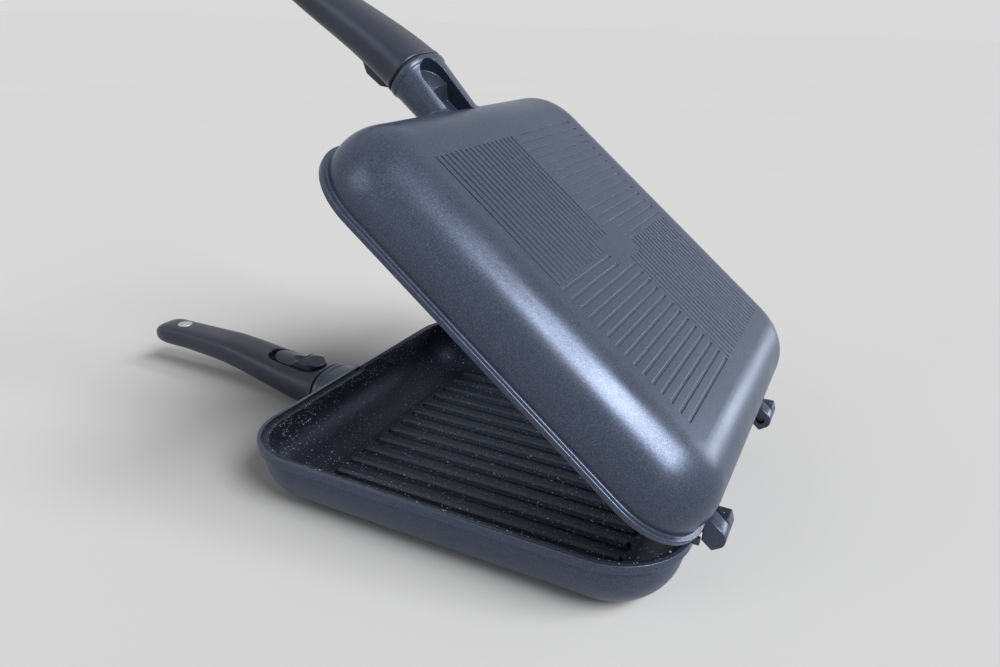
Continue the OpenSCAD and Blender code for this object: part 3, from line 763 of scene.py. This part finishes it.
@dataclass
class Casting:
    """One pan: shell, grooved base, ribbed floor, hinge lugs, nub and collar."""

    half: Half
    corner_x: float = 96.0
    corner_y: float = 92.0
    base_round: float = BASE_ROUND
    wall: float = 3.8
    wall_r: float = 40.6
    rim_r: float = 44.0
    flange_low: float = 36.4
    lip_z: float = 41.85
    ledge_z: float = 39.85
    lip_w: float = 2.6
    rim_gap: float = 0.3
    rim_radii: tuple[float, ...] = (1.0, 0.7, 0.6, 0.45, 0.35, 0.7)  # from the wall inwards
    corner_steps: int = 28
    rib_pitch: float = 16.0
    rib_count: int = 13
    rib_half: float = 3.2
    rib_top: float = 2.0
    rib_h: float = 2.2
    rib_reach: float = 101.0
    field_x: float = 93.5
    field_y: float = 93.0
    field_gap: float = 1.4
    groove_d: float = 0.8
    fine_count: int = 18
    fine_half: float = 0.9
    coarse_count: int = 15
    coarse_half: float = 0.85
    plate_x: float = 9.8
    plate_y: float = 19.8
    floor_patch: Pair = (102.5, 99.7)  # half length, half width
    base_patch: Pair = (95.0, 94.5)  # half length, half width
    base_steps: int = 28
    floor_steps: int = 24
    floor_turn: float = -84.0
    floor_run: float = 1.8
    notch_share: float = 0.3
    rib_lead: float = 0.8
    rib_edge: float = 0.7
    # Band under the rib height whose faces get the painted highlight.
    rib_highlight_band: float = 0.12
    groove_lead: float = 0.9
    groove_lean: float = 0.14
    groove_radii: Pair = (0.38, 0.2)
    lug_r: float = 6.8
    lug_top: float = 5.9
    lug_w: float = 11.7
    inner_lug: float = 62.7
    outer_lug: float = 74.8
    bore_r: float = 3.05
    blind_depth: float = 8.5
    lug_edge: float = 0.8
    lug_front: float = 0.74
    lug_back: float = 0.4
    lug_knee: float = 0.44
    lug_radii: tuple[float, ...] = (1.1, 1.1, 1.6, 1.2)
    bore_bare: float = 3.2
    top_bare: float = 4.0
    nub_x: Pair = (138.3, 143.4)
    nub_y: Pair = (-88.2, -91.4)
    nub_z: float = 37.4
    nub_edge: float = 0.7
    nub_radii: tuple[float, ...] = (0.5, 0.8, 0.8, 0.5)

    def _profile(self, near: bool) -> tuple[list[Pair], list[Zone]]:
        """Side view of the shell, from the base round the rim to the floor.

        Args:
            near: True for the near half of the rim, which has the outer lip.

        Returns:
            The points (distance from the corner's centre, height) and the zones between them.
        """
        centre = (self.wall_r - self.base_round, self.base_round)
        outside = arc(centre, self.base_round, -90, 0, self.base_steps)
        inside = arc(centre, self.base_round - self.wall, 0, self.floor_turn, self.floor_steps)
        inside.append((centre[0] + self.floor_run, self.wall))
        bowl_r = self.wall_r - self.wall
        step = self.rim_r - self.lip_w - (0 if near else self.rim_gap)
        first, last = (self.lip_z, self.ledge_z) if near else (self.ledge_z, self.lip_z)
        corners = [(self.wall_r, self.flange_low), (self.rim_r, self.flange_low),
                   (self.rim_r, first), (step, first), (step, last), (bowl_r, last)]
        rim = rounded([outside[-1], *corners, inside[0]], self.rim_radii)
        # The paint ends on the rim's fourth corner, halfway round it.
        painted = len(outside) - 1 + 3 * (ROUND_STEPS + 3) + 4
        line = outside[:-1] + rim + inside[1:]
        zones = [Zone.PAINT] * painted + [Zone.COATING] * (len(line) - 1 - painted)
        return line, zones

    def _shell(self, skin: Skin) -> None:
        """Sweep the side view round the rounded rectangle.

        Args:
            skin: Surface to add the shell to.
        """
        gap = self.rim_gap / 2
        slip = self.notch_share * gap
        far_line, zones = self._profile(False)
        near_line, _ = self._profile(True)
        notch = [(r, min(z, far_z)) for (r, z), (_, far_z) in zip(near_line, far_line)]
        change = ((gap, far_line), (slip, notch), (-slip, notch), (-gap, near_line))
        corners = (1, 1), (-1, 1), (-1, -1), (1, -1)
        stops = [(1, gap, 0.0, far_line)]
        for turn, (sx, sy) in enumerate(corners):
            line = far_line if sy > 0 else near_line
            if turn == 2:
                stops += [(-1, y, 180.0, part) for y, part in change]
            for i in range(self.corner_steps + 1):
                angle = 90 * turn + 90 * i / self.corner_steps
                stops.append((sx, sy * self.corner_y, angle, line))
        stops += [(1, y, 360.0, part) for y, part in change[:0:-1]]
        rows = []
        for sx, y, angle, line in stops:
            cos, sin = math.cos(math.radians(angle)), math.sin(math.radians(angle))
            rows.append([(sx * self.corner_x + r * cos, y + r * sin, z) for r, z in line])
        skin.grid(rows, zones, closed=True)
        for patch, loop, normal, zone in (
            (self.base_patch, [row[0] for row in rows], (0, 0, -1), Zone.PAINT),
            (self.floor_patch, [row[-1] for row in rows], (0, 0, 1), Zone.COATING),
        ):
            hole = [(patch[0] * sx, patch[1] * sy, loop[0][2]) for sx, sy in corners]
            skin.cap([loop, hole], normal, zone)

    def _floor(self, skin: Skin) -> None:
        """Lay the ribbed floor, with a painted highlight on the rib tops.

        Args:
            skin: Surface to add the floor to.
        """
        steep = self.rib_half - self.rib_top
        edge = rounded([(-self.rib_lead, 0), (0, 0), (steep, self.rib_h),
                        (self.rib_half, self.rib_h)], (self.rib_edge, self.rib_edge))
        middle = (self.rib_count - 1) / 2
        centres = [(i - middle) * self.rib_pitch for i in range(self.rib_count)]
        ribs = Strips(centres, [-self.rib_reach] * self.rib_count,
                      [self.rib_reach] * self.rib_count, self.rib_half, edge)
        x, y = self.floor_patch
        rows = ribs.panel((-x, x), (-y, y))
        # Faces on the rib tops get the lighter coating, a painted highlight.
        top = rows[..., 2] > self.rib_h - self.rib_highlight_band
        painted_highlight_tops = (top[:-1, :-1] & top[1:, :-1] & top[1:, 1:] & top[:-1, 1:]).ravel()
        rows[..., 2] += self.wall
        first = len(skin.zones)
        skin.grid(rows, Zone.COATING)
        skin.zones[first:] = [Zone.RIB_TOP_PAINTED_HIGHLIGHT if here else Zone.COATING for here in painted_highlight_tops]

    def _base(self, skin: Skin) -> None:
        """Lay the grooved base: four quarters that leave a cross and a plate bare.

        Args:
            skin: Surface to add the base to.
        """
        def edge(half: float) -> list[Pair]:
            """Side view of one side of a groove that is twice half wide."""
            return rounded([(-self.groove_lead, 0), (0, 0), (self.groove_lean, -self.groove_d),
                            (half, -self.groove_d)], self.groove_radii, 3)

        def places(reach: float, half: float, count: int) -> list[float]:
            """Middles of the grooves that fill a quarter."""
            pitch = (reach - self.field_gap - 2 * half) / (count - 1)
            return [self.field_gap + half + i * pitch for i in range(count)]

        fine = places(self.field_y, self.fine_half, self.fine_count)
        coarse = places(self.field_x, self.coarse_half, self.coarse_count)
        fine_starts = [self.plate_x if y < self.plate_y else self.field_gap for y in fine]
        coarse_starts = [self.plate_y if x < self.plate_x else self.field_gap for x in coarse]
        quarters = (
            (Strips(fine, fine_starts, [self.field_x] * len(fine), self.fine_half,
                    edge(self.fine_half), False), False),
            (Strips(coarse, coarse_starts, [self.field_y] * len(coarse), self.coarse_half,
                    edge(self.coarse_half)), True),
        )
        for strips, upright in quarters:
            spans = ((0, self.base_patch[0]), (0, self.base_patch[1]))
            rows = strips.panel(*(reversed(spans) if upright else spans))
            u, v, height = np.moveaxis(rows, -1, 0)
            for turn in (1, -1):
                x, y = (turn * v, turn * u) if upright else (turn * u, -turn * v)
                skin.grid(np.stack([x, y, -height], -1))

    def _lugs(self, skin: Skin) -> None:
        """Add the hinge lugs with their bores, and the nub beside the near one.

        Args:
            skin: Surface to add them to.
        """
        r, top = self.lug_r, self.lug_top
        start = self.wall_r + self.corner_x - HINGE_X
        ledge = self.ledge_z - PARTING_Z
        line = arc((0, 0), r, -90, 0, 12)
        line += rounded([line[-1], (r * self.lug_front, top), (-r * self.lug_back, top),
                         (-r * self.lug_front, top * self.lug_knee),
                         (self.rim_r + self.corner_x - HINGE_X + self.rim_gap, ledge),
                         (start, ledge)], self.lug_radii)[1:]
        line.append((start, -r))
        outline = [(HINGE_X + x, PARTING_Z + z) for x, z in line]
        bore = arc((HINGE_X, PARTING_Z), self.bore_r, 0, 360, 40)[:-1]
        skin.slab(outline, (-self.inner_lug, -self.inner_lug - self.lug_w), self.lug_edge,
                  ((bore, 2 * self.lug_w),))
        skin.slab(outline, (self.outer_lug, self.outer_lug + self.lug_w), self.lug_edge,
                  ((bore, self.blind_depth),))
        near, far = self.nub_x
        nub = rounded([(near, self.nub_z), (far, self.nub_z), (far, self.lip_z),
                       (near, self.lip_z)], self.nub_radii, closed=True)
        skin.slab(nub, self.nub_y, self.nub_edge)

    def _coat_lugs(self, skin: Skin, first: int) -> None:
        """Carry the coating over the upward faces of the lugs and the nub.

        Args:
            skin: Surface that holds them.
            first: Index of their first face.
        """
        for i in range(first, len(skin.faces)):
            a, b, c = (Vector(skin.points[j]) for j in skin.faces[i][:3])
            up = (b - a).cross(c - a)
            clear = abs(a.x - HINGE_X) > self.bore_bare or a.z > PARTING_Z + self.top_bare
            if clear and up.length and up.normalized().z > 0.6:
                skin.zones[i] = Zone.COATING

    def build(self, palette: Palette) -> None:
        """Build the casting in place of its CAD node.

        Args:
            palette: The object's finishes.
        """
        skin = Skin()
        self._shell(skin)
        self._floor(skin)
        self._base(skin)
        first = len(skin.faces)
        self._lugs(skin)
        self._coat_lugs(skin, first)
        collar = Collar().skin()
        skin.add(np.array(collar.points), collar.faces)
        skin.install("casting", "pan", self.half, self.half.body,
                     [palette.paint, palette.coating, palette.rib_top])


# ---------------------------------------------------------------- handle


def section_at(z: float, hw: float, hh: float, up: float, down: float) -> list[Pair]:
    """Rounded section across the handle, as (Y, Z) points.

    Args:
        z: Height of its centre.
        hw: Half its width.
        hh: Half its height.
        up: Squareness of its upper half, 2 for an ellipse.
        down: Squareness of its lower half.

    Returns:
        The section's points.
    """
    points = []
    for i in range(RING_SIDES):
        turn = 2 * math.pi * i / RING_SIDES
        cos, sin = math.cos(turn), math.sin(turn)
        power = 2 / (up if sin > 0 else down)
        points.append((hw * math.copysign(abs(cos) ** power, cos),
                       z + hh * math.copysign(abs(sin) ** power, sin)))
    return points


@dataclass
class Collar:
    """Cast collar that the handle's tongue goes into."""

    end_x: float = 166.8
    root_x: float = 119.26
    end_z: float = 17.0
    root_z: float = 20.8
    end_half: Pair = JOINT_HALF
    root_half: Pair = (22.4, 12.4)
    square: float = JOINT_SQUARE
    bead_l: float = 4.4
    bead_out: float = 0.7
    flare: float = 2.6
    wall_x: float = 104.6
    base_round: float = BASE_ROUND
    slot_end_x: float = 164.2
    slot_l: float = 40.0
    slot_half: float = 10.8
    slot_shift: float = 4.7
    slot_turn: float = math.radians(13)
    slot_floor: float = 6.43
    slot_step: float = 8.0
    slot_step_x: float = 149.0
    slot_clear: float = 40.0
    socket_half: float = TONGUE_HALF
    socket_z: Pair = TONGUE_Z
    socket_x: float = 150.6
    notch: tuple[float, ...] = (157.6, 162.5, 5.2, 29.1)  # near and far x, half width, top
    slot_slant: float = 0.75
    inner_parts: tuple[float, ...] = (0.02, 0.25, 0.5, 0.75)
    wall_rings: tuple[float, ...] = (-1.6, 0.0, 0.15, 0.4, 0.8, 1.3, 1.9, 2.6, 5.0)
    end_rings: tuple[float, ...] = (22.0, 18.0, 14.0, 10.0, 7.0, 5.4, 4.4, 4.0, 3.6, 3.2, 2.8,
                                    2.4, 1.6, 0.8, 0.3, 0.0)
    cell: float = 0.36
    relax: int = 9

    def _more(self, x: float) -> float:
        """How far the bead stands out.

        Args:
            x: Distance from the pan's middle.

        Returns:
            Its height over the collar.
        """
        t = (x - (self.end_x - self.bead_l)) / self.bead_l
        if t <= 0:
            return 0.0
        return self.bead_out * min(1.0, math.sin(math.pi * min(t, 0.5)) ** 0.6) * (
            1.0 if t < 0.8 else 1 - 2.2 * (t - 0.8))

    def _ring(self, reach: float, from_wall: bool, part: float = 1.0) -> list[Triple]:
        """One ring of points round the collar.

        Args:
            reach: Distance from the pan's wall, or from the collar's end.
            from_wall: True to measure from the wall.
            part: Scale of the ring, under 1 for a ring within the collar.

        Returns:
            The ring's points.
        """
        ring = []
        spread = 0.0
        power = 2 / self.square
        if from_wall and reach < self.flare:
            left = self.flare - max(reach, 0.0)
            spread = self.flare - math.sqrt(max(self.flare ** 2 - left ** 2, 0.0))
        for j in range(RING_SIDES):
            turn = 2 * math.pi * j / RING_SIDES
            wide, tall = (math.copysign(abs(way) ** power, way)
                          for way in (math.cos(turn), math.sin(turn)))
            x, z = self.end_x - reach, self.root_z + self.root_half[1] * tall
            for _ in range(4 if from_wall else 1):
                if from_wall:
                    low = max(self.base_round - z, 0.0)
                    x = self.wall_x + math.sqrt(self.base_round ** 2 - low ** 2) + reach
                t = (self.end_x - x) / (self.end_x - self.root_x)
                half = [(e + (r - e) * t + self._more(x) + spread) * part
                        for e, r in zip(self.end_half, self.root_half)]
                middle = self.end_z + (self.root_z - self.end_z) * t
                z = middle + half[1] * tall
            ring.append((-x, half[0] * wide, z))
        return ring

    def _slot(self, far: float, near: float, floor: float, round_end: bool,
              slant: float = 0.0) -> Skin:
        """Cutter for a stretch of the slot, in its turned place.

        Args:
            far: Distance of its outer end from the pan's middle.
            near: Distance of its inner end.
            floor: Distance of its floor from the collar's middle.
            round_end: True for a round outer end.
            slant: Run of the outer end for each mm of depth past the slot's floor.

        Returns:
            The cutter.
        """
        outline = [(-far, self.slot_half), (-far, -self.slot_half)]
        if round_end:
            outline = arc((-far + self.slot_half, 0), self.slot_half, 90, 270, 24)
        outline += [(-near, -self.slot_half), (-near, self.slot_half)]
        cutter = prism(outline, -self.slot_clear, -floor)
        cutter.points = [(x + slant * (z + self.slot_floor) * (x < -near), y, z)
                         for x, y, z in cutter.points]
        cos, sin = math.cos(self.slot_turn), math.sin(self.slot_turn)
        cutter.points = [(x, (y + self.slot_shift) * cos - z * sin,
                          self.end_z + (y + self.slot_shift) * sin + z * cos)
                         for x, y, z in cutter.points]
        return cutter

    def skin(self) -> Skin:
        """Surface of the collar with its flare at the wall, bead, slot and socket.

        Returns:
            The collar's surface.
        """
        rows = [self._ring(self.wall_rings[0], True, part) for part in self.inner_parts]
        rows += [self._ring(reach, True) for reach in self.wall_rings]
        rows += [self._ring(reach, False) for reach in self.end_rings]
        low, high = self.socket_z
        cutters = [
            self._slot(self.slot_end_x, self.slot_end_x - self.slot_l, self.slot_floor, True),
            self._slot(self.slot_step_x, self.slot_end_x - self.slot_l,
                       self.slot_floor - self.slot_step, False, self.slot_slant),
            block((-self.end_x - 1, -self.socket_half, low),
                  (-self.socket_x, self.socket_half, high)),
            block((-self.notch[1], -self.notch[2], high - 1),
                  (-self.notch[0], self.notch[2], self.notch[3])),
        ]
        body = loft([row[::-1] for row in rows])
        return Moulded(body, cutters, self.cell, self.relax).skin()


@dataclass
class Grip:
    """Moulded resin grip with its button recess and magnet pocket."""

    half: Half
    start_x: float = 168.0
    length: float = 182.0
    end_round: float = 20.0
    end_drop: float = 5.0
    joint: Triple = (*JOINT_HALF, 24.0)  # half width, half height, drop from the parting plane
    tip: Triple = (13.4, 9.8, 10.4)
    face_gap: float = 0.5
    bend_l: float = 122.0
    thin_l: float = 150.0
    thin_power: float = 1.4
    joint_square: float = JOINT_SQUARE
    face_square: float = 3.4
    back_square: float = 2.2
    bead_out: float = 0.5
    bead_l: float = 3.0
    recess: Triple = (30.5, 52.0, 10.5)  # place, length, half width
    recess_z: float = 29.4
    stem: Triple = (189.0, 207.0, 3.5)  # near and far x, half width
    frame_x: Pair = (173.0, 214.2)
    frame_half: float = 14.2
    tongue_half: float = TONGUE_HALF
    frame_z: Pair = TONGUE_Z
    magnet: Triple = (319.0, 6.1, 35.7)  # x, radius, floor
    clear_z: float = 60.0
    start_stops: tuple[float, ...] = (0.0, 0.3, 0.8, 1.4, 2.0, 2.6, 3.2)
    long_steps: int = 64
    end_steps: int = 14
    end_turn: float = 88.0
    cell: float = 0.55
    relax: int = 6

    def _ring(self, s: float, k: float) -> list[Triple]:
        """Section of the grip at s along it.

        Args:
            s: Distance from the joint.
            k: Scale of the section, under 1 at the rounded end.

        Returns:
            The section's points.
        """
        bent = min(1.0, s / self.bend_l)
        bend = (1 - bent) ** 2 * (1 + 2 * bent)
        thick = (1 - min(1.0, s / self.thin_l)) ** self.thin_power
        hw, hh, depth = (tip + (joint - tip) * part for tip, joint, part in
                         zip(self.tip, self.joint, (thick, thick, bend)))
        z = min(PARTING_Z - depth, PARTING_Z - self.face_gap - hh) - self.end_drop * (1 - k)
        more = self.bead_out * max(0.0, math.sin(math.pi * min(1.0, s / self.bead_l)))
        up, down = (low + (self.joint_square - low) * thick
                    for low in (self.face_square, self.back_square))
        section = section_at(z, hw * k + more, hh * k + more, up, down)
        return [(-self.start_x - s, y, height) for y, height in section]

    def build(self, palette: Palette) -> None:
        """Build the grip in place of its CAD node.

        Args:
            palette: The object's finishes.
        """
        straight = self.length - self.end_round
        first = self.start_stops[-1]
        stops = list(self.start_stops)
        stops += [first + (straight - first) * (i + 1) / self.long_steps
                  for i in range(self.long_steps)]
        rows = [self._ring(s, 1.0) for s in stops]
        for i in range(self.end_steps):
            turn = math.radians(self.end_turn * (i + 1) / self.end_steps)
            rows.append(self._ring(straight + self.end_round * math.sin(turn), math.cos(turn)))
        at, long, half = self.recess
        middle = -self.start_x - at
        x, r, low = self.magnet
        cutters = [
            prism(stadium(middle - long / 2, middle + long / 2, half), self.recess_z, self.clear_z),
            block((-self.stem[1], -self.stem[2], self.frame_z[1] - 1),
                  (-self.stem[0], self.stem[2], self.recess_z + 1)),
            block((-self.frame_x[1], -self.frame_half, self.frame_z[0]),
                  (-self.frame_x[0], self.frame_half, self.frame_z[1])),
            block((-self.frame_x[0] - 1, -self.tongue_half, self.frame_z[0]),
                  (-self.start_x + 1, self.tongue_half, self.frame_z[1])),
            prism(arc((-x, 0), r, 0, 360, 48)[:-1], low, self.clear_z),
        ]
        skin = Moulded(loft(rows), cutters, self.cell, self.relax).skin()
        skin.install("grip_moulding", "grip", self.half, self.half.body, [palette.resin])


@dataclass
class Button:
    """Thumb button with softened edges, shaped from its CAD node."""

    half: Half
    cell: float = 0.32
    relax: int = 5

    def build(self, palette: Palette) -> None:
        """Build the button in place of its CAD node.

        Args:
            palette: The object's finishes.
        """
        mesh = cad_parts[f"{self.half.value}_button"].data
        body = Skin()
        back = self.half.placement.inverted()
        body.add(np.array([tuple(back @ vertex.co) for vertex in mesh.vertices]),
                 [list(face.vertices) for face in mesh.polygons])
        skin = Moulded(body, [], self.cell, self.relax).skin()
        skin.install("button_moulding", "button", self.half,
                     f"{self.half.value}_thumb_button", [palette.button])


@dataclass
class Latch:
    """Steel latch, slide and springs inside one grip."""

    half: Half

    def dress(self, palette: Palette) -> None:
        """Give each inner piece of the latch its finish.

        Args:
            palette: The object's finishes.
        """
        for piece in ("frame", "frame_screw", "catch", "catch_pin", "catch_spring", "button_spring"):
            dress(f"{self.half.value}_{piece}", palette.steel)
        dress(f"{self.half.value}_slider", palette.resin)
        dress(f"{self.half.value}_magnet", palette.magnet)
        dress(f"{self.half.value}_ring", palette.seal)


# ---------------------------------------------------------------- studio


@dataclass(frozen=True)
class Lamp:
    """One soft box so far off that it lights pan and floor evenly."""

    name: str
    towards: Triple
    width: float
    power: float

    def build(self) -> None:
        """Add the lamp to the scene."""
        data = bpy.data.lights.new(self.name, "SUN")
        data.angle = math.radians(self.width)
        data.energy = self.power
        lamp = bpy.data.objects.new(self.name, data)
        lamp.rotation_euler = (-Vector(self.towards)).to_track_quat("-Z", "Y").to_euler()
        bpy.context.scene.collection.objects.link(lamp)


@dataclass(frozen=True)
class Studio:
    """Pale floor, soft lamps and the camera."""

    floor_size: float = 60.0
    floor_shade: float = 0.55
    backdrop: float = 0.70
    world_light: float = 0.20
    camera_place: Triple = (0.19425, -0.44403, 0.29127)
    azimuth: float = math.radians(25.72)
    elevation: float = math.radians(21.97)
    roll: float = math.radians(1.68)
    focal_px: float = 783.95
    frame_px: float = 1000.0
    sensor_mm: float = 36.0
    lamps: tuple[Lamp, ...] = (
        Lamp("key", (0.70, -0.27, 0.67), 26.0, 2.8), Lamp("top", (0.69, 0.09, 0.69), 20.0, 1.6),
        Lamp("rim", (0.58, 0.81, 0.08), 22.0, 0.9), Lamp("fill", (-0.45, -0.72, 0.52), 34.0, 0.45))

    def camera(self) -> None:
        """Set the camera at the photograph's viewing angle."""
        az, el = self.azimuth, self.elevation
        back = Vector((math.sin(az) * math.cos(el), -math.cos(az) * math.cos(el), math.sin(el)))
        level = Vector((math.cos(az), math.sin(az), 0))
        rise = back.cross(level)
        right = level * math.cos(self.roll) + rise * math.sin(self.roll)
        up = rise * math.cos(self.roll) - level * math.sin(self.roll)
        data = bpy.data.cameras.new("camera")
        data.sensor_width = self.sensor_mm
        data.lens = self.focal_px / self.frame_px * self.sensor_mm
        data.clip_start = 0.01
        camera = bpy.data.objects.new("camera", data)
        turn = Matrix((right, up, back)).transposed()
        camera.matrix_world = Matrix.Translation(self.camera_place) @ turn.to_4x4()
        bpy.context.scene.collection.objects.link(camera)
        bpy.context.scene.camera = camera

    def floor(self) -> None:
        """Add the plain pale floor."""
        half = self.floor_size / 2
        mesh = bpy.data.meshes.new("floor")
        mesh.from_pydata([(-half, -half, 0), (half, -half, 0), (half, half, 0), (-half, half, 0)],
                         [], [(0, 1, 2, 3)])
        tree = Tree(bpy.data.materials.new("floor_card"))
        shade = tree.spread(tree.noise(3.0), self.floor_shade - 0.01, self.floor_shade + 0.01)
        tree.join(tree.add("CombineColor", {0: shade, 1: shade, 2: shade}).outputs[0], "Base Color")
        tree.set(Roughness=0.9, Specular_IOR_Level=0.0)
        mesh.materials.append(tree.owner)
        floor = bpy.data.objects.new("floor", mesh)
        bpy.context.scene.collection.objects.link(floor)

    def world(self) -> None:
        """Light the surroundings softly, with a pale ground behind the pan."""
        tree = Tree(bpy.data.worlds.new("studio"), "Background")
        path = tree.add("LightPath").outputs
        mirrored = tree.math("MAXIMUM", path["Is Glossy Ray"], path["Is Transmission Ray"])
        seen = tree.math("MAXIMUM", path["Is Camera Ray"], mirrored)
        tree.set(Color=(1, 1, 1, 1))
        tree.join(tree.spread(seen, self.world_light, self.backdrop), "Strength")
        bpy.context.scene.world = tree.owner

    def build(self) -> None:
        """Build the whole studio."""
        self.camera()
        self.floor()
        self.world()
        for lamp in self.lamps:
            lamp.build()
        bpy.context.scene.view_settings.view_transform = "Standard"


def main() -> None:
    """Build the studio and dress every piece of the pan."""
    logging.basicConfig(level=logging.INFO, format="%(message)s")
    Studio().build()
    palette = Palette()
    for half in Half:
        Casting(half).build(palette)
        Grip(half).build(palette)
        Button(half).build(palette)
        Latch(half).dress(palette)
    for pin in ("near_hinge_pin", "far_hinge_pin"):
        dress(pin, palette.pin)


if __name__ == "__main__":
    main()
